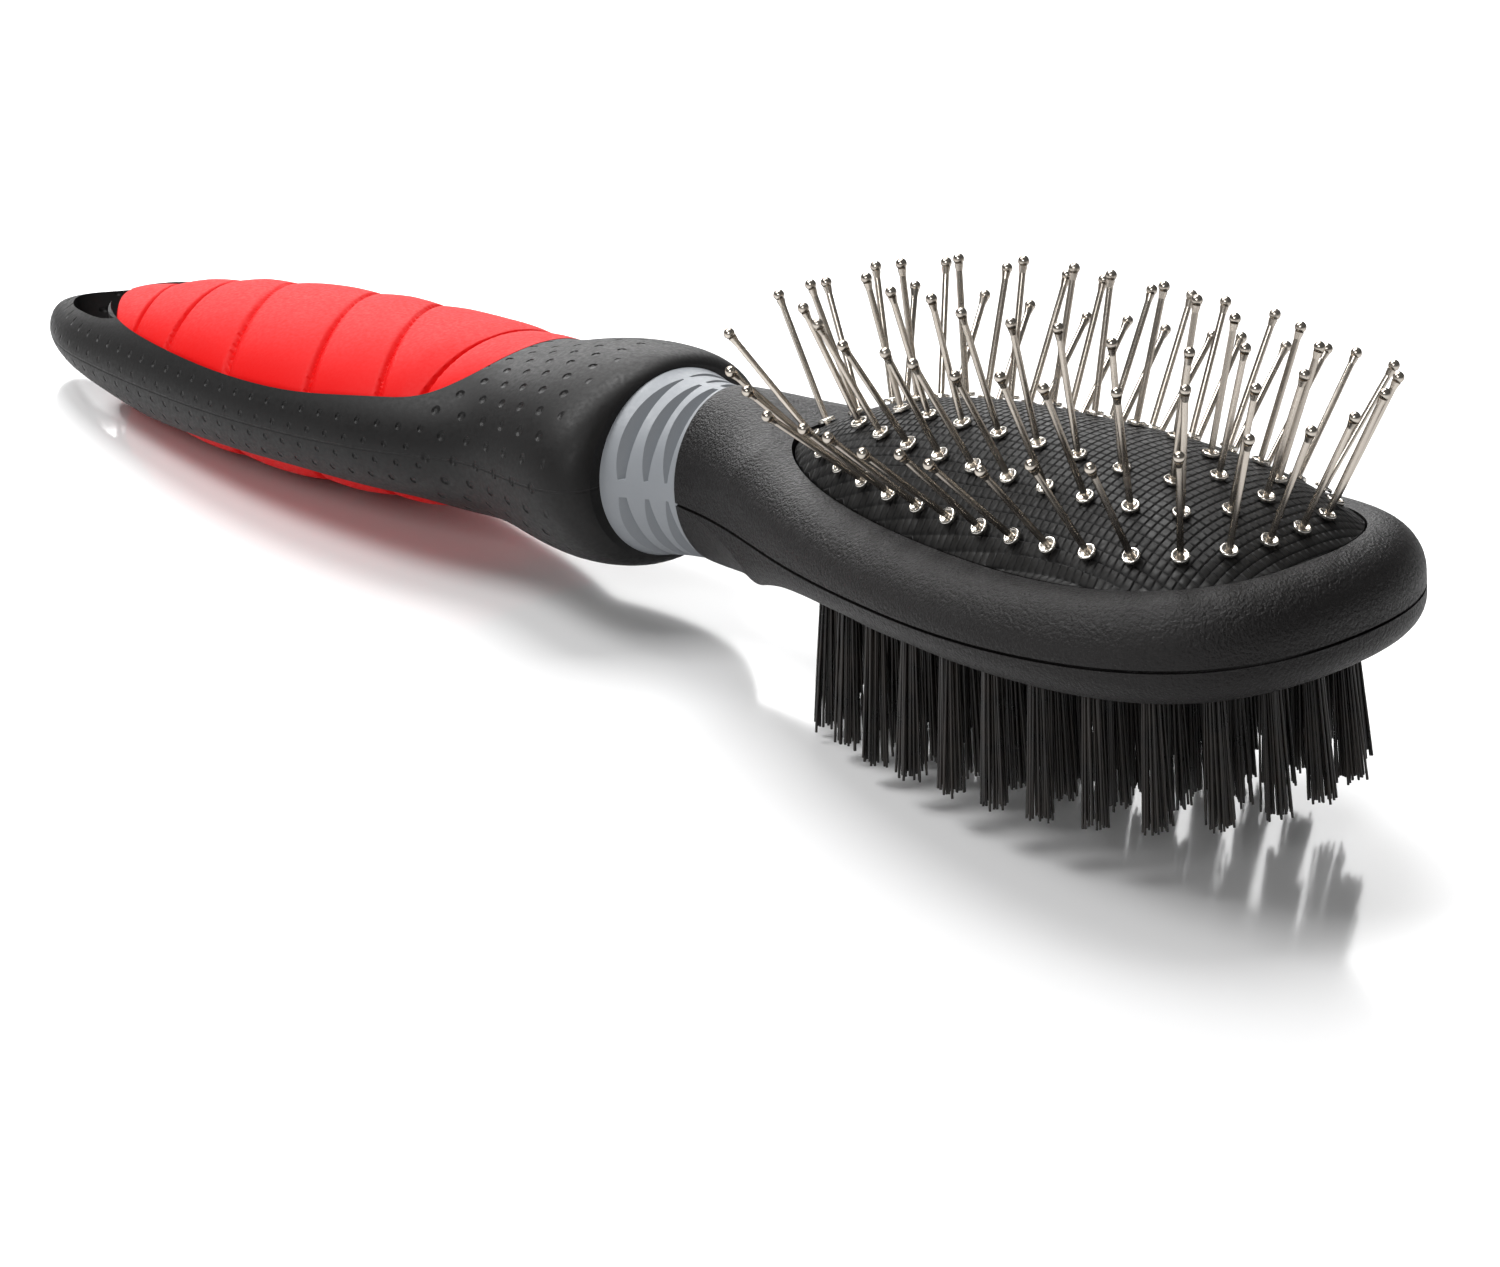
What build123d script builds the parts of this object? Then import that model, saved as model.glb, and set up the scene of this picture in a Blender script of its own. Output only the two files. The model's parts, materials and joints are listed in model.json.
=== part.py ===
from build123d import *
import os
from math import copysign, cos, hypot, pi, radians, sin, sqrt, tan

# A double-sided pet brush: ball-tipped pins on an air cushion above, nylon bristle tufts below.
# Everything is drawn in millimetres in a design frame: +X runs along the handle to the toe of
# the head, +Y is across, +Z is the pin side, and z = 0 is the parting plane of the head.
# At the end the whole brush is tilted to lie on its bristles and on the belly of its grip.

# ---------------------------------------------------------------- driving dimensions
axis_z = 1.3                 # axis of the handle, above the parting plane
toe_x = 47.3                 # toe of the head
neck_x = -57.0               # end of the head, where the neck collar starts
neck_half_width = 10.6
rim_height = 6.6             # top of the rim above the parting plane, at mid length
rim_end_lift = 2.6           # how much higher the rim stands at the toe and neck ends
rim_slope = 0.023            # the rim and cushion lean a little up towards the neck
lower_depth = 4.2            # depth of the lower shell below the parting plane
parting_half = 0.2           # half the width of the groove where the two shells meet
parting_depth = 0.6
lip_underside = 4.6          # underside of the lip that clamps the cushion
fit_gap = 0.1                # gap between parts that fit into each other

pad_half_length = 40.8       # cushion opening in the rim
pad_half_width = 20.1
pad_egg = 0.28               # how much wider the opening is towards the toe
pad_power = 2.65             # roundness of the opening: 2 is an ellipse
dome_height = 11.9
edge_drop = 0.1              # edge of the dome below the rim
rubber = 1.7                 # thickness of the cushion
edge_gap = 0.35              # gap between the cushion and the rim

chamber_margin = 2.8         # the air chamber is this much wider than the cushion opening
plate_flange = 1.6           # width of the flange round the bristle plate
plate_flange_low = -2.4
plate_flange_high = -0.8
plate_proud = 0.4            # bristle plate below the lower shell
base_low = 1.0               # rigid floor of the air chamber
base_high = 3.0

wire_radius = 0.42
ball_radius = 0.72
pin_reach = 17.3             # from the cushion to the middle of the ball
ferrule_radius = 1.15
pin_rings = {                # ring: (inset at the ends, inset at the sides, pins, phase)
    "outer": (3.7, 2.5, 32, 0.35),
    "middle": (9.5, 8.0, 24, 0.43),
    "inner": (15.6, 13.6, 17, 0.2),
}
pin_upright = 0.92           # pins lean a little less than the dome's slope
pin_sway = 0.04              # every pin strays this much from its proper lean

tip_depth = 23.2             # bristle tips below the parting plane
tuft_root_radius = 1.35
tuft_tip_radius = 2.2
tuft_pitch = 7.3
tuft_insets = {"outer": 7.3, "second": 13.0, "third": 18.6, "centre": 24.0}
tuft_lean = 3.0              # degrees, outer tufts only

collar_x = -67.5             # where the collar meets the handle
tang_end_x = -45.5           # tang of the handle core, inside the neck
tang_width = 11.0
tang_height = 9.0
crescent_off = 10.0          # how far off centre the ring of each crescent slot is
crescent_depth = 2.1
crescent_places = (-64.9, -61.7, -58.9)
tail_x = -197.8
grip_tip_x = -179.0          # rounded end of the grip, beside the hanging gap
gap_end_x = -192.0
core_half_height = 2.6
core_start_x = -72.0
core_end_x = -165.0
skin_wall = 1.8
grip_sink = 0.3              # the grip lies this much below the skin along its sides
groove_depth = 1.2           # grooves across the grip
groove_width = 1.4           # at the side bands; they narrow to the crown
groove_crown_width = 0.5
groove_lines = [             # (x at the crown, sweep: how far back it runs for each mm across)
    (-171.7, 0.6),
    (-160.0, 0.42),
    (-147.8, 0.58),
    (-131.0, 0.6),
    (-118.0, 0.64),
    (-102.4, 0.12),
]

# Sections of the handle: (x, half width, half height)
handle_sections = [
    (collar_x, 15.6, 12.7),
    (-68.2, 17.0, 13.4),
    (-69.8, 18.5, 14.0),
    (-72.8, 19.3, 14.4),
    (-78.0, 18.9, 14.4),
    (-84.0, 17.7, 13.6),
    (-91.0, 16.9, 12.2),
    (-99.0, 18.7, 11.8),
    (-108.0, 20.5, 11.9),
    (-120.0, 21.4, 12.0),
    (-132.0, 21.3, 12.0),
    (-143.0, 20.3, 11.7),
    (-153.0, 18.8, 11.1),
    (-163.0, 16.9, 10.0),
    (-173.0, 14.6, 8.2),
    (-182.0, 11.9, 6.3),
    (-190.0, 7.9, 4.3),
    (-195.0, 4.2, 3.1),
]


# ---------------------------------------------------------------- outlines and surfaces
def egg_points(half_length, half_width, power, egg, count, end_inset=0.0, side_inset=0.0):
    """Points round an oval, closer together where it turns faster."""
    points = []
    for step in range(count):
        turn = 2 * pi * step / count
        x = (half_length - end_inset) * copysign(abs(cos(turn)) ** (2 / power), cos(turn))
        y = (half_width - side_inset) * copysign(abs(sin(turn)) ** (2 / power), sin(turn))
        points.append((x, y * (1 + egg * x / half_length)))
    return points


def pad_outline(inset):
    points = egg_points(pad_half_length, pad_half_width, pad_power, pad_egg, 28, inset, inset)
    return Spline(*points, periodic=True)


def head_outline(shrink=0.0):
    """Plan outline of the head with its neck."""
    side = [(neck_x, neck_half_width), (-48, 12.9), (-29, 20.3), (-8, 26.6), (8, 29.4), (21, 29.3),
            (32, 26.7), (40.4, 21.2), (45.4, 12.7)]
    side = [(x, y - shrink) for x, y in side]
    points = side + [(toe_x - shrink, 0)] + [(x, -y) for x, y in reversed(side)]
    curve = Spline(*points)
    return make_face([curve, Line(points[-1], points[0])])


def rim_z(x):
    return rim_height + rim_end_lift * (x / pad_half_length) ** 2 - rim_slope * x


def dome_z(x, y):
    """Height of the cushion's outer surface; beyond its edge it carries on at the same slope."""
    side = y / (pad_half_width * (1 + pad_egg * x / pad_half_length))
    reach = (abs(x / pad_half_length) ** pad_power + abs(side) ** pad_power) ** (2 / pad_power)
    inside = min(reach, 1)
    crown = (1 - reach) * (1 + 0.17 * inside + 0.25 * inside ** 2)
    return rim_z(x) - edge_drop + dome_height * crown


def dome_normal(x, y):
    step = 0.05
    slope_x = (dome_z(x + step, y) - dome_z(x - step, y)) / (2 * step)
    slope_y = (dome_z(x, y + step) - dome_z(x, y - step)) / (2 * step)
    return Vector(-slope_x, -slope_y, 1).normalized()


def under_dome(drop):
    """Solid below the cushion's outer surface, lowered by drop."""
    columns = []
    for i in range(21):
        x = pad_half_length * 1.03 * (i - 10) / 10
        half_width = pad_half_width * (1 + pad_egg * x / pad_half_length) * 1.06
        rows = [half_width * (j - 8) / 8 for j in range(17)]
        columns.append([Vector(x, y, dome_z(x, y) - drop) for y in rows])
    surface = Face.make_surface_from_array_of_points(columns, tol=0.01, max_deg=5)
    return extrude(surface, 40, dir=(0, 0, -1))


def slab(face, low, high):
    return Pos(0, 0, low) * extrude(face, high - low)


def spread_round(points, count, start=0.0):
    """Evenly spaced places along the closed line through points."""
    closed = points + [points[0]]
    lengths = [0.0]
    for (x0, y0), (x1, y1) in zip(closed, closed[1:]):
        lengths.append(lengths[-1] + hypot(x1 - x0, y1 - y0))
    places = []
    for n in range(count):
        target = lengths[-1] * ((n + start) % count) / count
        k = max(i for i, value in enumerate(lengths[:-1]) if value <= target)
        share = (target - lengths[k]) / (lengths[k + 1] - lengths[k])
        (x0, y0), (x1, y1) = closed[k], closed[k + 1]
        places.append((x0 + share * (x1 - x0), y0 + share * (y1 - y0)))
    return places


# ---------------------------------------------------------------- head shells
def side_profile(points, floor_z):
    """Wide block under (or over) a line that runs along the head in side view."""
    curve = Spline(*points)
    (x0, z0), (x1, z1) = points[0], points[-1]
    rest = Polyline((x1, z1), (x1, floor_z), (x0, floor_z), (x0, z0))
    return extrude(Plane.XZ * make_face([curve, rest]), 40, both=True)


def neck_flare():
    """Trumpet that rounds the neck and opens out, squarer and squarer, until it clears the head."""
    sections = [(neck_x - 1, 10.4, 11.7, 2.0), (-50, 12.5, 11.7, 2.1), (-45, 14.3, 10.8, 2.5),
                (-40, 16.6, 10.0, 3.0), (-35, 19.6, 10.1, 3.5), (-30, 24.0, 12.2, 4.0), (-24, 32.0, 19.0, 4.0)]
    trumpet = loft([round_section(x, a, h, power) for x, a, h, power in sections])
    return Pos(0, 0, axis_z) * trumpet + Pos(26, 0, 0) * Box(100.2, 80, 80)


def round_section(x, half_width, half_height, power):
    """Upright section across the handle's axis; power 2 is an ellipse, more is squarer."""
    points = [(x, y, z) for y, z in egg_points(half_width, half_height, power, 0, 24)]
    return make_face(Spline(*points, periodic=True))


def shell_body(profile, corner, side):
    """Half of the head: its plan outline cut to the side profile, with a rounded edge."""
    block = slab(head_outline(), min(0, 20 * side), max(0, 20 * side)) & side_profile(profile, 0)
    edges = block.edges().filter_by(lambda e: abs(e.center().Z) > 3 and e.length > 60)
    rim = head_outline() - head_outline(parting_depth)
    lip = slab(rim, min(0, side * parting_half), max(0, side * parting_half))
    return (fillet(edges, corner) & neck_flare()) - lip


def head_upper_shell():
    profile = [(neck_x, axis_z + 11.9), (-50, 12.9), (-38, rim_z(-38) + 0.4), (-20, rim_z(-20)),
               (0, rim_height), (20, rim_z(20)), (38, rim_z(38)), (50, rim_z(42) + 0.6)]
    body = shell_body(profile, 6.3, 1)
    opening = slab(make_face(pad_outline(0)), 0, 20)
    chamber = slab(make_face(pad_outline(-chamber_margin)), 0, lip_underside)
    return body - chamber - opening - tang_room()


def head_lower_shell():
    profile = [(neck_x, axis_z - 11.9), (-49, -10.2), (-40, -7.4), (-30, -4.9), (-18, -lower_depth + 0.2),
               (10, -lower_depth), (50, -lower_depth - 0.5)]
    body = shell_body(profile, 3.8, -1)
    opening = slab(plate_outline(fit_gap), -20, 0)
    chamber = slab(plate_outline(plate_flange + 0.4), plate_flange_low, 0)
    return body - chamber - opening - tang_room()


def tang_room():
    """Socket in the neck for the tang of the handle core."""
    return (Pos((neck_x + tang_end_x) / 2, 0, axis_z)
            * Box(tang_end_x - neck_x + 2 * fit_gap, tang_width + 2 * fit_gap, tang_height + 2 * fit_gap))


# ---------------------------------------------------------------- inside the head
def plate_outline(grow=0.0):
    """Oval face of the bristle plate."""
    points = egg_points(38.0 + grow, 24.4 + grow, 2.35, 0.16, 28)
    return Pos(2.2, 0, 0) * make_face(Spline(*points, periodic=True))


def bristle_plate():
    boss = slab(plate_outline(), -lower_depth - plate_proud, plate_flange_high)
    flange = slab(plate_outline(plate_flange), plate_flange_low, plate_flange_high)
    plate = boss + flange
    holes = [tuft_hole(place) for places in tuft_places().values() for place in places]
    return plate - holes


def cushion_base():
    """Rigid floor of the air chamber, standing on the bristle plate."""
    floor = slab(make_face(pad_outline(fit_gap - chamber_margin)), base_low, base_high)
    foot = slab(make_face(pad_outline(4.4)), plate_flange_high, base_low)
    return floor + (foot - slab(make_face(pad_outline(6.4)), plate_flange_high, base_low))


def pin_cushion():
    inside = slab(make_face(pad_outline(edge_gap)), base_high, 40)
    hollow = slab(make_face(pad_outline(edge_gap + rubber)), 0, 40)
    dome = (under_dome(0) & inside) - (under_dome(rubber) & hollow)
    flange = slab(make_face(pad_outline(-2.4)), base_high, lip_underside) - hollow
    cushion = dome + flange
    rings = pin_places().values()
    holes = [pin_frame(place) * Cylinder(wire_radius + 0.05, 12) for places in rings for place in places]
    return cushion - holes


# ---------------------------------------------------------------- pins
def pin_places():
    places = {}
    for name, (end_inset, side_inset, count, phase) in pin_rings.items():
        ring = egg_points(pad_half_length, pad_half_width, pad_power, pad_egg, 240, end_inset, side_inset)
        places[name] = [(x, y, n) for n, (x, y) in enumerate(spread_round(ring, count, phase))]
    return places


def pin_frame(place):
    """Frame on the cushion with its z axis along the pin."""
    x, y, n = place
    square = dome_normal(x, y)
    stray = 2.4 * n
    along = Vector(square.X * pin_upright, square.Y * pin_upright, square.Z)
    along = along + Vector(cos(stray), sin(stray), 0) * pin_sway
    return Plane(origin=(x, y, dome_z(x, y)), x_dir=(1, 0, 0.0001), z_dir=along.normalized()).location


def pin_shape():
    """One pin: a foot inside the cushion, a straight wire, a small flare and a ball."""
    foot_low = -rubber - 1.1
    flare = 0.58
    neck = pin_reach - sqrt(ball_radius ** 2 - wire_radius ** 2)
    ball_top = pin_reach + ball_radius
    outline = [
        Line((0, foot_low), (1.1, foot_low)),
        Line((1.1, foot_low), (1.1, foot_low + 0.5)),
        Line((1.1, foot_low + 0.5), (wire_radius, foot_low + 0.5)),
        Line((wire_radius, foot_low + 0.5), (wire_radius, neck - 0.9)),
        Line((wire_radius, neck - 0.9), (flare, neck)),
        Line((flare, neck), (wire_radius, neck)),
        ThreePointArc((wire_radius, neck), (ball_radius, pin_reach), (0, ball_top)),
        Line((0, ball_top), (0, foot_low)),
    ]
    return revolve(Plane.XZ * make_face(outline), Axis.Z)


def ferrule_shape():
    """Metal collar that seats the pin on the rubber: a low dish inside a rolled rim."""
    low = 0.15
    bore = wire_radius + 0.01
    roll = ferrule_radius - 0.2
    outline = [
        Line((bore, low), (ferrule_radius, low)),
        Line((ferrule_radius, low), (ferrule_radius, low + 0.24)),
        ThreePointArc((ferrule_radius, low + 0.24), (roll, low + 0.46), (roll - 0.2, low + 0.26)),
        Line((roll - 0.2, low + 0.26), (bore, low + 0.16)),
        Line((bore, low + 0.16), (bore, low)),
    ]
    return revolve(Plane.XZ * make_face(outline), Axis.Z)


def placed_on_dome(shape, places):
    return Compound([pin_frame(place) * shape for place in places])


# ---------------------------------------------------------------- bristles
def tuft_places():
    places = {}
    for name, inset in tuft_insets.items():
        ring = [(x + 2.2, y) for x, y in egg_points(43.4, 29.2, 2.35, 0.16, 240, inset, inset)]
        around = sum(hypot(x1 - x0, y1 - y0) for (x0, y0), (x1, y1) in zip(ring, ring[1:] + ring[:1]))
        count = round(around / tuft_pitch)
        places[name] = [(x, y, name) for x, y in spread_round(ring, count, 0.25)]
    return places


def tuft_frame(place):
    """Frame at the plate face with its z axis running down the tuft."""
    x, y, name = place
    lean = tan(radians(tuft_lean)) if name == "outer" else 0.0
    away = Vector(x - 2.2, y * 1.6, 0).normalized() * lean
    down = Vector(away.X, away.Y, -1).normalized()
    return Plane(origin=(x, y, -lower_depth - plate_proud), x_dir=(1, 0, 0.0001), z_dir=down).location


def tuft_hole(place):
    return tuft_frame(place) * Pos(0, 0, -1.35) * Cylinder(tuft_root_radius + 0.05, 2.9)


def tuft(place):
    length = tip_depth - lower_depth - plate_proud
    root = Pos(0, 0, -1.35) * Cylinder(tuft_root_radius, 2.7)
    brush = Pos(0, 0, length / 2) * Cone(tuft_root_radius, tuft_tip_radius, length)
    return tuft_frame(place) * (root + brush)


def tuft_anchor(place):
    """Flat wire staple that holds the folded tuft at the bottom of its hole."""
    return tuft_frame(place) * Pos(0, 0, -2.74) * Box(2.5, 1.3, 0.08)


# ---------------------------------------------------------------- neck collar
def ellipse_section(x, half_width, half_height):
    return Plane(origin=(x, 0, 0), x_dir=(0, 1, 0), z_dir=(-1, 0, 0)) * Ellipse(half_width, half_height)


def collar_groove(x, side, up):
    """Off-centre wedge ring that cuts one crescent into one quarter of the collar."""
    middle = radians(46)
    surface = 12.8 - 0.2 * (x - collar_x)
    inner = surface + crescent_off - crescent_depth
    outline = Polyline((0.4, inner), (-1.6, inner + 4), (2.0, inner + 4), close=True)
    ring = revolve(Plane.XY * make_face(outline), Axis.X)
    quarter = Pos(x, side * 10.6, up * 11.0) * Box(10, 20, 19.6)
    return (Pos(x, -side * crescent_off * cos(middle), -up * crescent_off * sin(middle)) * ring) & quarter


def neck_collar():
    wide = ellipse_section(collar_x, 13.9, 12.4)
    lip = ellipse_section(collar_x + 1.4, 13.3, 12.1)
    waist = ellipse_section(-61.5, 11.5, 11.6)
    narrow = ellipse_section(neck_x - 0.05, 10.2, 11.5)
    collar = loft([wide, lip, waist, narrow])
    grooves = [collar_groove(x, side, up) for x in crescent_places for side in (-1, 1) for up in (-1, 1)]
    bore = Pos(-62, 0, 0) * Box(40, tang_width, tang_height)
    return collar - grooves - bore


# ---------------------------------------------------------------- handle
def handle_form(sink=0.0):
    """Outer form of the handle, drawn round its own axis."""
    faces = [ellipse_section(x, a - sink, h) for x, a, h in handle_sections]
    return loft(faces + [Vertex(tail_x, 0, 0)])


def grip_outline(shrink=0.0):
    """Plan of the window in the skin that the grip fills."""
    side = [(-171, 10.4), (-163, 13.6), (-153, 16.2), (-136, 18.9), (-121, 19.1), (-107, 17.0), (-99.5, 14.4),
            (-94.9, 9.0)]
    side = [(x, y - shrink) for x, y in side]
    points = [(grip_tip_x + shrink, 0)] + side + [(-93.2 - shrink, 0)] + [(x, -y) for x, y in reversed(side)]
    return make_face(Spline(*points, periodic=True))


def gap_outline():
    """Plan of the hanging gap between the grip's end and the loop."""
    loop = Spline((-171, 10.6), (-182, 7.9), (gap_end_x, 0), (-182, -7.9), (-171, -10.6))
    end = ThreePointArc((-171, -10.6), (grip_tip_x - 0.2, 0), (-171, 10.6))
    return make_face([loop, end])


def core_outline():
    """Plan of the core: inside the skin all round, ending beside the hanging gap."""
    side = [(x, a - skin_wall) for x, a, h in handle_sections if core_end_x < x < core_start_x]
    curve = Spline(*side, (grip_tip_x + 2.5, 0), *[(x, -y) for x, y in reversed(side)])
    return make_face([curve, Line(curve @ 1, curve @ 0)])


def handle_core():
    plate = slab(core_outline(), -core_half_height, core_half_height)
    bar = Pos((tang_end_x - 100) / 2, 0, 0) * Box(100 + tang_end_x, tang_width, tang_height)
    return plate + bar


def handle_skin():
    body = handle_form() - slab(gap_outline(), -20, 20)
    for low, high in ((core_half_height, 20), (-20, -core_half_height)):
        body = body - slab(grip_outline(), low, high)
    return body - handle_core()


def grip_half(side):
    """Grip on one face of the core, with curved grooves across it."""
    low, high = (core_half_height, 20) if side > 0 else (-20, -core_half_height)
    body = slab(grip_outline(0.04), low, high) & handle_form(grip_sink)
    body = body - handle_core() - slab(gap_outline(), -20, 20)
    inside = handle_form_inside(groove_depth)
    return body - [slab(groove_strip(x, sweep), low, high) - inside for x, sweep in groove_lines]


def handle_form_inside(depth):
    return loft([ellipse_section(x, a - depth, h - depth) for x, a, h in handle_sections])


def groove_strip(crown_x, sweep):
    """Slanting band in plan, narrowest at the crown of the grip."""
    back = [(crown_x - sweep * y, y) for y in (-22, 0, 22)]
    widths = (groove_width, groove_crown_width, groove_width)
    front = [(x + width, y) for (x, y), width in zip(back, widths)]
    edges = [Spline(*back), Line(back[2], front[2]), Spline(*reversed(front)), Line(front[0], back[0])]
    return make_face(edges)


# ---------------------------------------------------------------- assembly
def build():
    pins = pin_places()
    tufts = tuft_places()
    nodes = {
        "head_upper_shell": head_upper_shell(),
        "head_lower_shell": head_lower_shell(),
        "cushion_base": cushion_base(),
        "pin_cushion": pin_cushion(),
        "bristle_plate": bristle_plate(),
        "neck_collar": Pos(0, 0, axis_z) * neck_collar(),
        "handle_core": Pos(0, 0, axis_z) * handle_core(),
        "handle_skin": Pos(0, 0, axis_z) * handle_skin(),
        "grip_top": Pos(0, 0, axis_z) * grip_half(1),
        "grip_bottom": Pos(0, 0, axis_z) * grip_half(-1),
    }
    for name, places in pins.items():
        nodes[f"pins_{name}"] = placed_on_dome(pin_shape(), places)
        nodes[f"pin_ferrules_{name}"] = placed_on_dome(ferrule_shape(), places)
    for name, places in tufts.items():
        nodes[f"bristle_tufts_{name}"] = Compound([tuft(place) for place in places])
    nodes["tuft_anchors"] = Compound([tuft_anchor(place) for places in tufts.values() for place in places])
    return nodes


def lowest(shapes, tilt):
    return min((Rot(0, -tilt, 0) * shape).bounding_box().min.Z for shape in shapes)


def rest_tilt(nodes):
    """Tilt at which the bristle tips and the belly of the grip touch the same surface."""
    tips = [nodes[name] for name in nodes if name.startswith("bristle_tufts")]
    belly = [nodes["grip_bottom"], nodes["handle_skin"]]
    low, high = 0.0, 10.0
    for _ in range(12):
        middle = (low + high) / 2
        if lowest(tips, middle) < lowest(belly, middle):
            low = middle
        else:
            high = middle
    return (low + high) / 2


def at_rest(nodes):
    tilt = rest_tilt(nodes)
    print(f"rest tilt {tilt:.3f} degrees")
    turned = {name: Rot(0, -tilt, 0) * shape for name, shape in nodes.items()}
    box = Compound([part for part in turned.values()]).bounding_box()
    middle = box.center()
    print(f"moved by {-middle.X:.3f} {-middle.Y:.3f} {-box.min.Z:.3f}")
    return {name: Pos(-middle.X, -middle.Y, -box.min.Z) * shape for name, shape in turned.items()}


os.makedirs("parts", exist_ok=True)
for node, shape in at_rest(build()).items():
    export_step(shape, f"parts/{node}.step")
    print(node, round(shape.volume, 1))
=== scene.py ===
import json
import math
import random

import bmesh
import bpy
from mathutils import Matrix, Vector


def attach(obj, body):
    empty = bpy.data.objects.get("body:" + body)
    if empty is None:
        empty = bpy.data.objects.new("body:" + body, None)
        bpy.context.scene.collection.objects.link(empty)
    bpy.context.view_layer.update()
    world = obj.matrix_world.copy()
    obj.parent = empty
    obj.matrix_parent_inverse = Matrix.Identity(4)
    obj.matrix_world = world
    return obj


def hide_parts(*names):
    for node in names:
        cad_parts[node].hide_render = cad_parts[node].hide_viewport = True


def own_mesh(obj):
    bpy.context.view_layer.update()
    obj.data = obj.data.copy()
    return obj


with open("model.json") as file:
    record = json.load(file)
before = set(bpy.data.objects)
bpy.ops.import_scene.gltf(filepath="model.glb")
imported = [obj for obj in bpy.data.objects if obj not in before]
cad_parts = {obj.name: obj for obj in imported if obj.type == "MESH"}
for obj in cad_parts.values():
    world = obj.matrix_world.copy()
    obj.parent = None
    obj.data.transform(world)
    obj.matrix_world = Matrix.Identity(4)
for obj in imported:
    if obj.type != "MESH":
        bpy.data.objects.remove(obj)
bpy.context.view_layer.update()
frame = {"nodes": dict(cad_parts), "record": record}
nodes = frame["nodes"]
record = frame["record"]
MM = 0.001
PIN_RINGS = ("outer", "middle", "inner")
TUFT_RINGS = ("outer", "second", "third", "centre")

# ------------------------------------------------------------ head frame
# The brush was drawn lying level: +X to the toe, z = 0 on the parting plane of the head. At rest
# it is tilted toe up, and the pins' slide axis says by how much. The hanging gap's mount fixes
# the rest.
up_axis = Vector(record["behaviour"]["joints"][0]["axis"]).normalized()
along_axis = Vector((up_axis.z, 0, -up_axis.x))
HANDLE_AXIS_Z = 1.3 * MM
GAP_X = -185.5 * MM
gap_mount = Vector(record["mounts"][0]["pos_m"])
head_origin = gap_mount - along_axis * GAP_X - up_axis * HANDLE_AXIS_Z
HEAD = Matrix((
    (along_axis.x, 0, up_axis.x, head_origin.x),
    (0, 1, 0, head_origin.y),
    (along_axis.z, 0, up_axis.z, head_origin.z),
    (0, 0, 0, 1),
))
TILT = math.atan2(along_axis.z, along_axis.x)

# ------------------------------------------------------------ shape of the cushion, in millimetres
PAD_HALF_LENGTH, PAD_HALF_WIDTH = 40.8, 20.1
PAD_EGG, PAD_POWER = 0.28, 2.65
RIM_HEIGHT, RIM_END_LIFT, RIM_SLOPE = 6.6, 2.6, 0.023
DOME_HEIGHT, EDGE_DROP, EDGE_GAP = 11.9, 0.1, 0.35
DOME_FULLNESS = (0.17, 0.25)
KNURL_PITCH, GROOVE_HALF_WIDTH, GROOVE_DEPTH, SKIRT_DEPTH = 1.15, 0.17, 0.17, 2.0


def rim_z(x):
    """Height of the shell's rim round the cushion."""
    return RIM_HEIGHT + RIM_END_LIFT * (x / PAD_HALF_LENGTH) ** 2 - RIM_SLOPE * x


def dome_z(x, reach):
    """Height of the cushion; reach is the squared distance from its middle, 1 at the edge."""
    low, high = DOME_FULLNESS
    crown = (1 - reach) * (1 + low * reach + high * reach ** 2)
    return rim_z(x) - EDGE_DROP + DOME_HEIGHT * crown


# ------------------------------------------------------------ material tools
# In every material n is its nodes and l its links. Noise mostly lies between these two values.
NOISE_LOW, NOISE_HIGH = 0.3, 0.7


def new_material(name, **inputs):
    """A Principled material. Returns the material, its nodes, its links and the shader."""
    material = bpy.data.materials.new(name)
    material.use_nodes = True
    tree = material.node_tree
    shader = tree.nodes["Principled BSDF"]
    for key, value in inputs.items():
        shader.inputs[key.replace("_", " ")].default_value = value
    return material, tree.nodes, tree.links, shader


def coords(n, l, tilted=False):
    """Object coordinates; tilted ones are those of the head frame, in metres."""
    source = n.new("ShaderNodeTexCoord").outputs["Object"]
    if not tilted:
        return source
    move = n.new("ShaderNodeVectorMath")
    move.operation = "SUBTRACT"
    move.inputs[1].default_value = head_origin
    l.new(source, move.inputs[0])
    turn = n.new("ShaderNodeVectorRotate")
    turn.rotation_type = "Y_AXIS"
    turn.inputs["Angle"].default_value = TILT
    l.new(move.outputs[0], turn.inputs["Vector"])
    return turn.outputs[0]


def noise(n, l, vector, scale, detail=2.0, roughness=0.5):
    node = n.new("ShaderNodeTexNoise")
    node.inputs["Scale"].default_value = scale
    node.inputs["Detail"].default_value = detail
    node.inputs["Roughness"].default_value = roughness
    l.new(vector, node.inputs["Vector"])
    return node.outputs["Fac"]


def calc(n, l, operation, *values):
    """One math step; each value is a number or another step's output."""
    node = n.new("ShaderNodeMath")
    node.operation = operation
    for socket, value in zip(node.inputs, values):
        if isinstance(value, (int, float)):
            socket.default_value = value
        else:
            l.new(value, socket)
    return node.outputs[0]


def bump(n, l, height, distance, strength=1.0, normal=None):
    """Distance in millimetres."""
    node = n.new("ShaderNodeBump")
    node.inputs["Distance"].default_value = distance * MM
    node.inputs["Strength"].default_value = strength
    l.new(height, node.inputs["Height"])
    if normal:
        l.new(normal, node.inputs["Normal"])
    return node.outputs[0]


def ramp(n, l, value, low, high, start=NOISE_LOW, end=NOISE_HIGH):
    """low at start and high at end, clamped; for a noise value unless start and end are given."""
    node = n.new("ShaderNodeMapRange")
    for key, number in (("From Min", start), ("From Max", end), ("To Min", low), ("To Max", high)):
        node.inputs[key].default_value = number
    l.new(value, node.inputs["Value"])
    return node.outputs[0]


def blend_colours(n, l, factor, first, second):
    node = n.new("ShaderNodeMix")
    node.data_type = "RGBA"
    node.inputs["A"].default_value = (*first, 1)
    node.inputs["B"].default_value = (*second, 1)
    l.new(factor, node.inputs["Factor"])
    return node.outputs["Result"]


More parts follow.
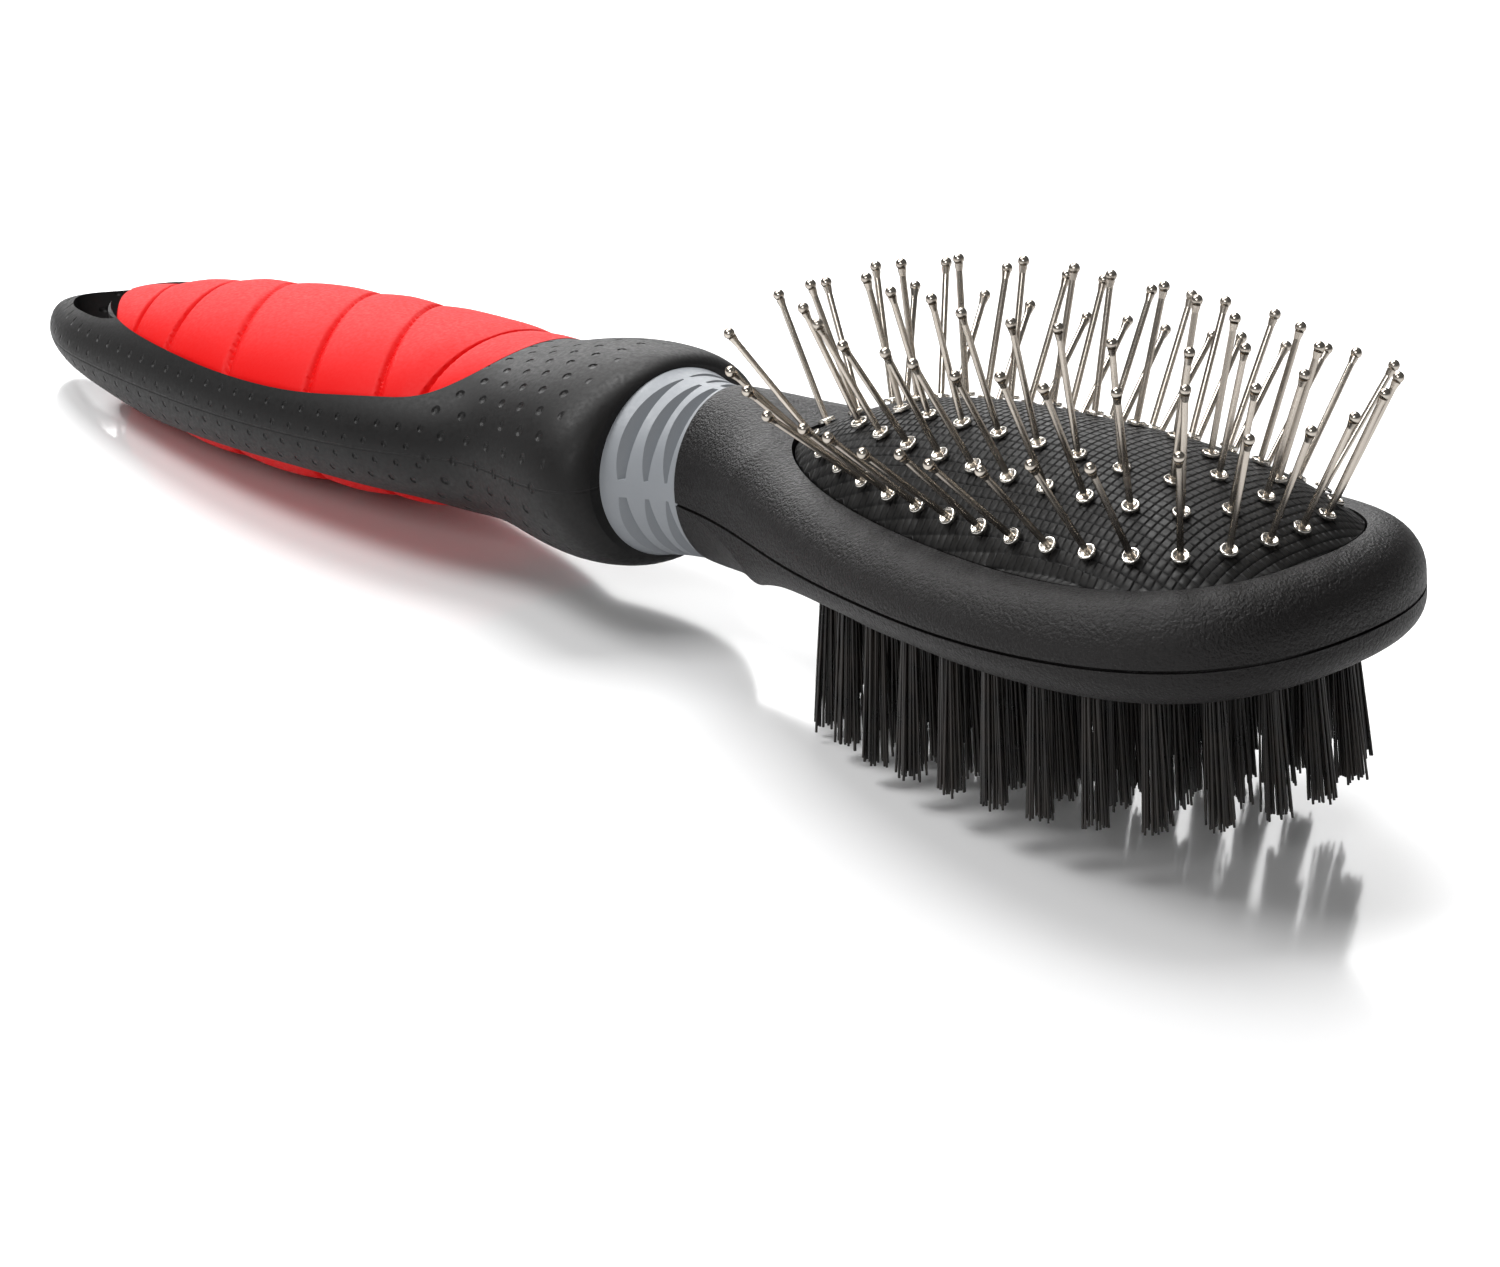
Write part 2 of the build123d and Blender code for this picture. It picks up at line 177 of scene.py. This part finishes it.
# ------------------------------------------------------------ materials
def shell_material():
    """Black ABS with a fine spark-eroded texture."""
    material, n, l, shader = new_material("shell_satin_black", Roughness=0.42, Specular_IOR_Level=0.27)
    where = coords(n, l)
    grain = noise(n, l, where, 2300, 3, 0.6)
    patch = noise(n, l, where, 60, 3)
    tone = blend_colours(n, l, patch, (0.006, 0.005, 0.005), (0.011, 0.010, 0.010))
    l.new(tone, shader.inputs["Base Color"])
    l.new(ramp(n, l, grain, 0.34, 0.54), shader.inputs["Roughness"])
    l.new(bump(n, l, grain, 0.3), shader.inputs["Normal"])
    return material


def cushion_material():
    """Black rubber, with painted shade: its colour is darker in the grooves of its knurl than on its
    flats.
    """
    material, n, l, shader = new_material("cushion_knurled_rubber", Roughness=0.5, Specular_IOR_Level=0.24)
    where = coords(n, l, tilted=True)
    split = n.new("ShaderNodeSeparateXYZ")
    l.new(where, split.inputs[0])
    cells = []
    for along in ("X", "Y"):
        run = calc(n, l, "DIVIDE", split.outputs[along], KNURL_PITCH * MM)
        saw = calc(n, l, "PINGPONG", run, 0.5)
        cells.append(ramp(n, l, saw, 0, 1, 0.05, 0.16))
    unshaded_flats = calc(n, l, "MINIMUM", *cells)
    grain = noise(n, l, where, 1500, 3)
    l.new(ramp(n, l, grain, 0.40, 0.58), shader.inputs["Roughness"])
    # painted shade: near-black colour in the knurl's grooves, lighter colour on the flats between them
    tone = blend_colours(n, l, unshaded_flats, (0.001, 0.001, 0.001), (0.012, 0.0115, 0.011))
    l.new(tone, shader.inputs["Base Color"])
    l.new(bump(n, l, grain, 0.05, 0.5), shader.inputs["Normal"])
    return material


def nickel_material(name, colour, roughness):
    """Plated wire: bright face on, darker at its edges, with faint smears."""
    material, n, l, shader = new_material(name, Metallic=1.0, Roughness=roughness)
    shader.inputs["Specular Tint"].default_value = (0.12, 0.11, 0.10, 1)
    where = coords(n, l)
    smear = noise(n, l, where, 110, 2)
    l.new(ramp(n, l, smear, roughness * 0.75, roughness * 1.5), shader.inputs["Roughness"])
    tone = blend_colours(n, l, smear, tuple(0.86 * c for c in colour), colour)
    l.new(tone, shader.inputs["Base Color"])
    return material


def nylon_material():
    material, n, l, shader = new_material("bristle_nylon_black", Roughness=0.32)
    where = coords(n, l)
    strand = noise(n, l, where, 350, 2)
    streak = ramp(n, l, strand, 0, 1, 0.35, 0.65)
    tone = blend_colours(n, l, streak, (0.004, 0.0035, 0.003), (0.018, 0.014, 0.011))
    l.new(tone, shader.inputs["Base Color"])
    l.new(ramp(n, l, strand, 0.26, 0.42), shader.inputs["Roughness"])
    return material


def collar_material():
    material, n, l, shader = new_material("collar_matte_gray", Roughness=0.5)
    where = coords(n, l)
    grain = noise(n, l, where, 1300, 4, 0.65)
    patch = noise(n, l, where, 90, 2)
    tone = blend_colours(n, l, patch, (0.235, 0.25, 0.27), (0.27, 0.285, 0.305))
    l.new(tone, shader.inputs["Base Color"])
    l.new(ramp(n, l, grain, 0.42, 0.62), shader.inputs["Roughness"])
    l.new(bump(n, l, grain, 0.07, 0.45), shader.inputs["Normal"])
    return material


# The skin's dimples, in millimetres: along the handle and from row to row, and their radius.
SLEEVE_PITCH, SLEEVE_DIMPLE = 4.4, 0.68
BAND_PITCH, BAND_DIMPLE, BAND_ROW_SHIFT = 3.5, 0.48, 1.22
ROW_SPACING = 0.7                   # of the pitch along the handle
SLEEVE_GIRTH_RADIUS = 17.0
# Each pair is the stretch over which the relief fades in or out.
SLEEVE_START, SLEEVE_END = (-98.5, -96.5), (-73.5, -72.5)
BAND_HALF_HEIGHT = (4.2, 4.8)
SEAM_HALF_WIDTH, SEAM_DEPTH = (0.08, 0.2), 0.15
DIMPLE_DEPTH = 0.55


def dimple_field(n, l, u, v, pitch, radius):
    """1 at the middle of each dimple of a staggered grid, 0 outside them. u and v are in metres."""
    pitch, radius = pitch * MM, radius * MM
    row = calc(n, l, "DIVIDE", v, pitch * ROW_SPACING)
    row_number = calc(n, l, "ROUND", row)
    shift = calc(n, l, "MULTIPLY", calc(n, l, "PINGPONG", row_number, 1.0), 0.5)
    column = calc(n, l, "ADD", calc(n, l, "DIVIDE", u, pitch), shift)
    du = calc(n, l, "MULTIPLY", calc(n, l, "SUBTRACT", column, calc(n, l, "ROUND", column)), pitch)
    dv = calc(n, l, "MULTIPLY", calc(n, l, "SUBTRACT", row, row_number), pitch * ROW_SPACING)
    du, dv = calc(n, l, "MULTIPLY", du, du), calc(n, l, "MULTIPLY", dv, dv)
    away = calc(n, l, "SQRT", calc(n, l, "ADD", du, dv))
    return ramp(n, l, away, 1, 0, radius * 0.35, radius)


def fade(n, l, value, low, high, between):
    """low before the stretch that between gives in millimetres, and high after it."""
    start, end = between
    return ramp(n, l, value, low, high, start * MM, end * MM)


def skin_material():
    """Black soft skin: large dimples on the sleeve, small rows along the side bands."""
    material, n, l, shader = new_material("skin_soft_black", Roughness=0.5, Specular_IOR_Level=0.26)
    where = coords(n, l, tilted=True)
    split = n.new("ShaderNodeSeparateXYZ")
    l.new(where, split.inputs[0])
    x, y = split.outputs["X"], split.outputs["Y"]
    z = calc(n, l, "SUBTRACT", split.outputs["Z"], HANDLE_AXIS_Z)
    side = calc(n, l, "ABSOLUTE", y)
    turn = calc(n, l, "ARCTAN2", z, side)
    round_way = calc(n, l, "MULTIPLY", turn, SLEEVE_GIRTH_RADIUS * MM)
    big = dimple_field(n, l, x, round_way, SLEEVE_PITCH, SLEEVE_DIMPLE)
    band_height = calc(n, l, "ADD", z, BAND_ROW_SHIFT * MM)
    small = dimple_field(n, l, x, band_height, BAND_PITCH, BAND_DIMPLE)
    from_seam = calc(n, l, "ABSOLUTE", z)
    past_grip = fade(n, l, x, 0, 1, SLEEVE_START)
    off_rim = fade(n, l, x, 1, 0, SLEEVE_END)
    band_middle = fade(n, l, from_seam, 1, 0, BAND_HALF_HEIGHT)
    on_band = calc(n, l, "MULTIPLY", calc(n, l, "SUBTRACT", 1.0, past_grip), band_middle)
    on_sleeve = calc(n, l, "MULTIPLY", calc(n, l, "MULTIPLY", big, past_grip), off_rim)
    dents = calc(n, l, "ADD", on_sleeve, calc(n, l, "MULTIPLY", small, on_band))
    seam = calc(n, l, "MULTIPLY", fade(n, l, from_seam, 1, 0, SEAM_HALF_WIDTH), SEAM_DEPTH)
    height = calc(n, l, "SUBTRACT", 1.0, calc(n, l, "ADD", dents, seam))
    grain = noise(n, l, where, 1800, 3)
    patch = noise(n, l, where, 50, 3)
    tone = blend_colours(n, l, patch, (0.007, 0.0065, 0.0065), (0.012, 0.0115, 0.0115))
    l.new(tone, shader.inputs["Base Color"])
    l.new(ramp(n, l, grain, 0.44, 0.6), shader.inputs["Roughness"])
    dimples = bump(n, l, height, DIMPLE_DEPTH)
    l.new(bump(n, l, grain, 0.04, 0.4, dimples), shader.inputs["Normal"])
    return material


def red_material():
    material, n, l, shader = new_material("grip_soft_red", Roughness=0.5, Subsurface_Weight=0.06,
                                          Subsurface_Scale=0.002, Specular_IOR_Level=0.1)
    shader.inputs["Subsurface Radius"].default_value = (1.0, 0.25, 0.15)
    where = coords(n, l)
    grain = noise(n, l, where, 1900, 3)
    patch = noise(n, l, where, 45, 3)
    tone = blend_colours(n, l, patch, (0.54, 0.002, 0.002), (0.63, 0.004, 0.004))
    l.new(tone, shader.inputs["Base Color"])
    l.new(ramp(n, l, grain, 0.46, 0.62), shader.inputs["Roughness"])
    l.new(bump(n, l, grain, 0.04, 0.4), shader.inputs["Normal"])
    return material


def plain_material(name, colour, roughness, metallic=0.0):
    """For pieces that are hidden or in deep shade."""
    material, n, l, shader = new_material(name, Roughness=roughness, Metallic=metallic)
    where = coords(n, l)
    grain = noise(n, l, where, 800, 3)
    tone = blend_colours(n, l, grain, tuple(0.8 * c for c in colour), colour)
    l.new(tone, shader.inputs["Base Color"])
    l.new(bump(n, l, grain, 0.05, 0.3), shader.inputs["Normal"])
    return material


def smooth(mesh, degrees):
    """Smooth shading, with a sharp edge where two faces meet at more than this angle."""
    mesh.shade_smooth()
    mesh.set_sharp_from_angle(angle=math.radians(degrees))


def dress(node, material, degrees=32):
    """Gives a CAD node its material and smooth shading."""
    mesh = nodes[node].data
    mesh.materials.clear()
    mesh.materials.append(material)
    smooth(mesh, degrees)


def add_piece(name, data, material):
    """A piece of the visual model, from a mesh or a curve, that rides on the brush."""
    piece = bpy.data.objects.new(name, data)
    bpy.context.scene.collection.objects.link(piece)
    data.materials.append(material)
    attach(piece, "brush")
    return piece


# ------------------------------------------------------------ cushion
def knurl_lines(half_length):
    """Places across the knurl: at the bottom of each groove and at both of its edges."""
    count = math.ceil(half_length / KNURL_PITCH)
    lines = []
    for number in range(-count, count + 1):
        middle = number * KNURL_PITCH
        lines += [(middle - GROOVE_HALF_WIDTH, 0), (middle, 1), (middle + GROOVE_HALF_WIDTH, 0)]
    return lines


def pad_reach(x, y):
    """0 at the middle of the cushion and 1 at its edge."""
    across = y / ((PAD_HALF_WIDTH - EDGE_GAP) * (1 + PAD_EGG * x / PAD_HALF_LENGTH))
    along = x / (PAD_HALF_LENGTH - EDGE_GAP)
    return (abs(along) ** PAD_POWER + abs(across) ** PAD_POWER) ** (1 / PAD_POWER)


def finish_mesh(grid, name, degrees):
    """Turns a worked-out surface into a smooth mesh."""
    bmesh.ops.recalc_face_normals(grid, faces=grid.faces)
    mesh = bpy.data.meshes.new(name)
    grid.to_mesh(mesh)
    grid.free()
    smooth(mesh, degrees)
    return mesh


def hang_skirt(grid):
    """Adds a strip of faces all round the open edge, and returns its free vertices."""
    border = [edge for edge in grid.edges if edge.is_boundary]
    skirt = bmesh.ops.extrude_edge_only(grid, edges=border)
    return [item for item in skirt["geom"] if isinstance(item, bmesh.types.BMVert)]


def cushion_skin(material):
    """Dome with its knurl, and a short turned-down edge under the rim."""
    grid = bmesh.new()
    table = {}
    rows = knurl_lines(PAD_HALF_LENGTH)
    columns = knurl_lines(PAD_HALF_WIDTH * (1 + PAD_EGG))
    for i, (x, x_groove) in enumerate(rows):
        for j, (y, y_groove) in enumerate(columns):
            reach = pad_reach(x, y)
            inside = reach < 1
            at_x, at_y = (x, y) if inside else (x / reach, y / reach)
            sunk = GROOVE_DEPTH if (x_groove or y_groove) and inside else 0.0
            height = dome_z(at_x, min(reach, 1) ** 2) - sunk
            place = HEAD @ Vector((at_x * MM, at_y * MM, height * MM))
            table[i, j] = (grid.verts.new(place), inside)
    for i in range(len(rows) - 1):
        for j in range(len(columns) - 1):
            corners = [table[i, j], table[i + 1, j], table[i + 1, j + 1], table[i, j + 1]]
            if any(inside for vert, inside in corners):
                grid.faces.new([vert for vert, inside in corners])
    loose = [vert for vert in grid.verts if not vert.link_faces]
    bmesh.ops.delete(grid, geom=loose, context="VERTS")
    for vert in hang_skirt(grid):
        vert.co -= up_axis * SKIRT_DEPTH * MM
    bmesh.ops.remove_doubles(grid, verts=grid.verts, dist=0.02 * MM)
    piece = add_piece("cushion_skin", finish_mesh(grid, "cushion_skin", 30), material)
    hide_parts("pin_cushion")
    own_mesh(piece)


# ------------------------------------------------------------ grips
# Half width and half height of the handle under the grip, from the tail to the sleeve.
HANDLE_SECTIONS = [
    (-190.0, 7.9, 4.3), (-182.0, 11.9, 6.3), (-173.0, 14.6, 8.2), (-163.0, 16.9, 10.0),
    (-153.0, 18.8, 11.1), (-143.0, 20.3, 11.7), (-132.0, 21.3, 12.0), (-120.0, 21.4, 12.0),
    (-108.0, 20.5, 11.9), (-99.0, 18.7, 11.8), (-91.0, 16.9, 12.2), (-84.0, 17.7, 13.6),
]
GRIP_SINK = 0.3                     # how far the pad's sides lie inside the handle's
GRIP_LEAST_CROWN = 0.02             # keeps the pad from thinning to nothing at its sides
GRIP_EDGE_ROUND = 0.3
GRIP_EDGE_SHARE = 0.97              # the edge is rounded from here outward
EVEN_SHARE = 0.65                   # columns are this much evenly spread, and closer at the edges
CORE_HALF_HEIGHT = 2.6
# Window in the skin that the grip fills: (x, half width).
GRIP_WINDOW = [
    (-179.0, 0.0), (-171.0, 10.4), (-163.0, 13.6), (-153.0, 16.2), (-136.0, 18.9),
    (-121.0, 19.1), (-107.0, 17.0), (-99.5, 14.4), (-94.9, 9.0), (-93.2, 0.0),
]
# Grooves: (x at the crown, how far back the groove runs for each millimetre across).
GRIP_GROOVES = [
    (-171.7, 0.6), (-160.0, 0.42), (-147.8, 0.58), (-131.0, 0.6), (-118.0, 0.64), (-102.4, 0.12),
]
LOBE_REACH, LOBE_DROP = 6.5, 0.45
# A groove's half width and depth at the crown, and how much each grows towards the sides.
GROOVE_WIDTH_AT_CROWN, GROOVE_WIDENING = 0.3, 0.4
GROOVE_DEPTH_AT_CROWN, GROOVE_DEEPENING = 0.45, 0.55
GRIP_HALF_WIDTH = 19.0


def curve_through(before, start, end, after, share):
    """Catmull-Rom step between two points."""
    out = []
    for a, b, c, d in zip(before, start, end, after):
        bend = 2 * a - 5 * b + 4 * c - d
        twist = -a + 3 * b - 3 * c + d
        out.append(0.5 * (2 * b + (c - a) * share + bend * share ** 2 + twist * share ** 3))
    return out


def handle_size(x):
    """Half width and half height of the handle at x."""
    last = len(HANDLE_SECTIONS) - 2
    k = max(i for i in range(last + 1) if HANDLE_SECTIONS[i][0] <= x or i == 0)
    before, after = HANDLE_SECTIONS[max(k - 1, 0)], HANDLE_SECTIONS[min(k + 2, last + 1)]
    start, end = HANDLE_SECTIONS[k], HANDLE_SECTIONS[k + 1]
    share = (x - start[0]) / (end[0] - start[0])
    return curve_through(before[1:], start[1:], end[1:], after[1:], share)


def window_at(place):
    """Point (x, half width) on the window's outline; place runs from 0 to 1, tail to head."""
    steps = len(GRIP_WINDOW) - 1
    k = min(int(place * steps), steps - 1)
    first = (GRIP_WINDOW[1][0], -GRIP_WINDOW[1][1])
    final = (GRIP_WINDOW[-2][0], -GRIP_WINDOW[-2][1])
    before = GRIP_WINDOW[k - 1] if k else first
    after = GRIP_WINDOW[k + 2] if k + 2 <= steps else final
    return curve_through(before, GRIP_WINDOW[k], GRIP_WINDOW[k + 1], after, place * steps - k)


def groove_drop(x, y):
    """How far the grip's surface lies below its plain form: lobes that meet in narrow grooves."""
    drop = 0.0
    aside = min(abs(y) / GRIP_HALF_WIDTH, 1)
    half_width = GROOVE_WIDTH_AT_CROWN + GROOVE_WIDENING * aside
    depth = GROOVE_DEPTH_AT_CROWN + GROOVE_DEEPENING * aside
    for crown_x, sweep in GRIP_GROOVES:
        away = abs(x - crown_x + sweep * y) / math.hypot(1, sweep)
        lobe = LOBE_DROP * max(0, 1 - away / LOBE_REACH) ** 2
        drop = max(drop, lobe + depth * max(0, 1 - away / half_width))
    return drop


def grip_pad(name, side, material):
    """Soft red pad on one face of the handle: +1 above, -1 below."""
    rows, columns = 300, 96
    grid = bmesh.new()
    table = []
    for i in range(rows + 1):
        x, half_width = window_at(i / rows)
        wide, high = handle_size(x)
        row = []
        for j in range(columns + 1):
            even = 2 * j / columns - 1
            across = math.sin(math.pi / 2 * even) * (1 - EVEN_SHARE) + even * EVEN_SHARE
            y = half_width * across
            crown = math.sqrt(max(GRIP_LEAST_CROWN, 1 - (y / (wide - GRIP_SINK)) ** 2))
            past = max(0, (abs(across) - GRIP_EDGE_SHARE) / (1 - GRIP_EDGE_SHARE))
            height = high * crown - groove_drop(x, y) - GRIP_EDGE_ROUND * past ** 2
            place = Vector((x * MM, y * MM, HANDLE_AXIS_Z + side * height * MM))
            row.append(grid.verts.new(HEAD @ place))
        table.append(row)
    for low_row, high_row in zip(table, table[1:]):
        for j in range(columns):
            grid.faces.new((low_row[j], high_row[j], high_row[j + 1], low_row[j + 1]))
    bmesh.ops.remove_doubles(grid, verts=grid.verts, dist=0.03 * MM)
    to_head = HEAD.inverted()
    for vert in hang_skirt(grid):
        foot = to_head @ vert.co
        foot.z = HANDLE_AXIS_Z + side * CORE_HALF_HEIGHT * MM
        vert.co = HEAD @ foot
    piece = add_piece(name + "_pad", finish_mesh(grid, name, 38), material)
    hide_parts(name)


# ------------------------------------------------------------ bristles
TUFT_FILAMENTS = 24
FILAMENT_RADIUS = 0.17 * MM
TURN_BETWEEN_FILAMENTS = 2.4        # radians; near the golden angle, so a tuft fills evenly
TIP_RADIUS, ROOT_RADIUS = 1.95 * MM, 1.1 * MM
STRAY_REACH, UNEVEN_LENGTH, BOW = 0.35 * MM, 1.1 * MM, 0.6 * MM
WILD_SHARE, WILD_FACTOR = 0.06, 1.5
END_SLICE = 0.5 * MM


def islands(mesh):
    """Groups of vertex positions, one for each separate solid of a node."""
    parent = list(range(len(mesh.vertices)))
    same_place = {}

    def find(i):
        while parent[i] != i:
            parent[i] = parent[parent[i]]
            i = parent[i]
        return i

    for vertex in mesh.vertices:
        key = tuple(round(c * 1e6) for c in vertex.co)
        first = same_place.setdefault(key, vertex.index)
        parent[find(vertex.index)] = find(first)
    for edge in mesh.edges:
        a, b = edge.vertices
        parent[find(a)] = find(b)
    groups = {}
    for vertex in mesh.vertices:
        groups.setdefault(find(vertex.index), []).append(vertex.co.copy())
    return [groups[key] for key in sorted(groups)]


def tuft_ends(points):
    """Root end and tip end of one tuft, from the top and bottom of its solid."""
    depth = [p.dot(up_axis) for p in points]
    high, low = max(depth), min(depth)
    root = [p for p, d in zip(points, depth) if d > high - END_SLICE]
    tip = [p for p, d in zip(points, depth) if d < low + END_SLICE]
    return sum(root, Vector()) / len(root), sum(tip, Vector()) / len(tip)


def bristle_ring(name, material, rng):
    """Every filament of one ring of tufts, as one piece."""
    curve = bpy.data.curves.new(name, "CURVE")
    curve.dimensions = "3D"
    curve.bevel_depth = FILAMENT_RADIUS
    curve.bevel_resolution = 1
    curve.use_fill_caps = True
    for points in islands(nodes["bristle_tufts_" + name].data):
        root, tip = tuft_ends(points)
        add_tuft(curve, root, tip, rng)
    piece = add_piece("bristles_" + name, curve, material)
    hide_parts("bristle_tufts_" + name)


def add_tuft(curve, root, tip, rng):
    """A bundle: filaments packed at the root and fanned out at uneven lengths."""
    down = (tip - root).normalized()
    side = down.cross(Vector((0, 1, 0))).normalized()
    across = down.cross(side)
    for number in range(TUFT_FILAMENTS):
        turn = TURN_BETWEEN_FILAMENTS * number + rng.uniform(-0.3, 0.3)
        spread = math.sqrt((number + 0.5) / TUFT_FILAMENTS)
        away = side * math.cos(turn) + across * math.sin(turn)
        fan = TIP_RADIUS * spread * rng.uniform(0.75, 1.1)
        if rng.random() < WILD_SHARE:
            fan *= WILD_FACTOR
        stray = (side * rng.uniform(-1, 1) + across * rng.uniform(-1, 1)) * STRAY_REACH
        end = tip + away * fan + stray - down * rng.uniform(0.0, UNEVEN_LENGTH)
        begin = root + away * ROOT_RADIUS * spread
        middle = begin.lerp(end, 0.55) + away * rng.uniform(-0.12, 0.2) * BOW
        spline = curve.splines.new("NURBS")
        spline.points.add(2)
        for point, place in zip(spline.points, (begin, middle, end)):
            point.co = (*place, 1)
        spline.order_u = 3
        spline.use_endpoint_u = True
        spline.resolution_u = 4


# ------------------------------------------------------------ stage
def floor():
    """A pale glossy table top."""
    material, n, l, shader = new_material("floor_white_gloss", Roughness=0.12)
    where = coords(n, l)
    haze = noise(n, l, where, 6, 2)
    tone = blend_colours(n, l, haze, (0.84, 0.84, 0.845), (0.86, 0.86, 0.86))
    l.new(tone, shader.inputs["Base Color"])
    l.new(ramp(n, l, haze, 0.09, 0.14), shader.inputs["Roughness"])
    mesh = bpy.data.meshes.new("floor")
    reach = 6.0
    corners = [(-reach, -reach, 0), (reach, -reach, 0), (reach, reach, 0), (-reach, reach, 0)]
    mesh.from_pydata(corners, [], [(0, 1, 2, 3)])
    mesh.materials.append(material)
    plane = bpy.data.objects.new("floor", mesh)
    bpy.context.scene.collection.objects.link(plane)


def area_light(name, place, aim, width, height, power):
    """Sizes and places in metres, power in watts."""
    data = bpy.data.lights.new(name, "AREA")
    data.energy = power
    data.shape = "RECTANGLE"
    data.size = width
    data.size_y = height
    lamp = bpy.data.objects.new(name, data)
    lamp.location = place
    lamp.rotation_euler = (Vector(aim) - Vector(place)).to_track_quat("-Z", "Y").to_euler()
    bpy.context.scene.collection.objects.link(lamp)


def lights():
    """A dim room with softboxes overhead and high on the left, and cards behind and in front."""
    world = bpy.data.worlds.new("studio")
    bpy.context.scene.world = world
    world.use_nodes = True
    back = world.node_tree.nodes["Background"]
    back.inputs["Color"].default_value = (1, 1, 1, 1)
    back.inputs["Strength"].default_value = 0.12
    area_light("overhead_softbox", (-0.45, 0.3, 1.1), (-0.05, 0.05, 0), 0.6, 0.6, 12.5)
    area_light("back_card", (-1.1, 0.8, 0.5), (-0.1, 0, 0.05), 1.15, 0.5, 9.5)
    area_light("side_softbox", (-0.42, -0.35, 0.85), (0.03, 0, 0.03), 0.45, 0.35, 7)
    area_light("front_card", (0.36, -0.66, 0.46), (0.02, 0, 0.02), 0.4, 0.25, 2.2)


def camera():
    """At the photograph's viewing angle: a long lens, looking down the brush from beside its toe."""
    azimuth, elevation, roll = math.radians(44.4), math.radians(23.2), math.radians(1.4)
    distance = 0.7253
    aim = Vector((0.0189, 0.0029, -0.0011))
    level = math.cos(elevation)
    back = Vector((math.sin(azimuth) * level, -math.cos(azimuth) * level, math.sin(elevation)))
    data = bpy.data.cameras.new("camera")
    data.lens = 132
    data.sensor_width = 36
    data.clip_start = 0.01
    eye = bpy.data.objects.new("camera", data)
    eye.location = aim + back * distance
    turn = (-back).to_track_quat("-Z", "Y").to_matrix() @ Matrix.Rotation(roll, 3, "Z")
    eye.rotation_euler = turn.to_euler()
    bpy.context.scene.collection.objects.link(eye)
    bpy.context.scene.camera = eye


# ------------------------------------------------------------ build
# A number after the material is the angle, in degrees, above which an edge stays sharp.
shell = shell_material()
dress("head_upper_shell", shell)
dress("head_lower_shell", shell)
inner = plain_material("inner_plastic", (0.03, 0.03, 0.032), 0.6)
dress("cushion_base", inner)
dress("handle_core", inner)
dress("bristle_plate", plain_material("bristle_plate_black", (0.014, 0.014, 0.014), 0.5))
dress("tuft_anchors", plain_material("anchor_wire", (0.6, 0.6, 0.6), 0.35, 1.0))
dress("neck_collar", collar_material(), 40)
dress("handle_skin", skin_material(), 40)
red = red_material()
grip_pad("grip_top", 1, red)
grip_pad("grip_bottom", -1, red)
pin_nickel = nickel_material("pin_nickel", (0.62, 0.565, 0.50), 0.2)
ferrule_nickel = nickel_material("ferrule_nickel", (0.84, 0.81, 0.76), 0.16)
for ring in PIN_RINGS:
    dress("pins_" + ring, pin_nickel, 70)
    dress("pin_ferrules_" + ring, ferrule_nickel, 55)
cushion_skin(cushion_material())
nylon = nylon_material()
strands = random.Random(11)         # a fixed seed, so each run gives the same bristles
for ring in TUFT_RINGS:
    bristle_ring(ring, nylon, strands)

floor()
lights()
camera()
bpy.context.scene.view_settings.view_transform = "Standard"
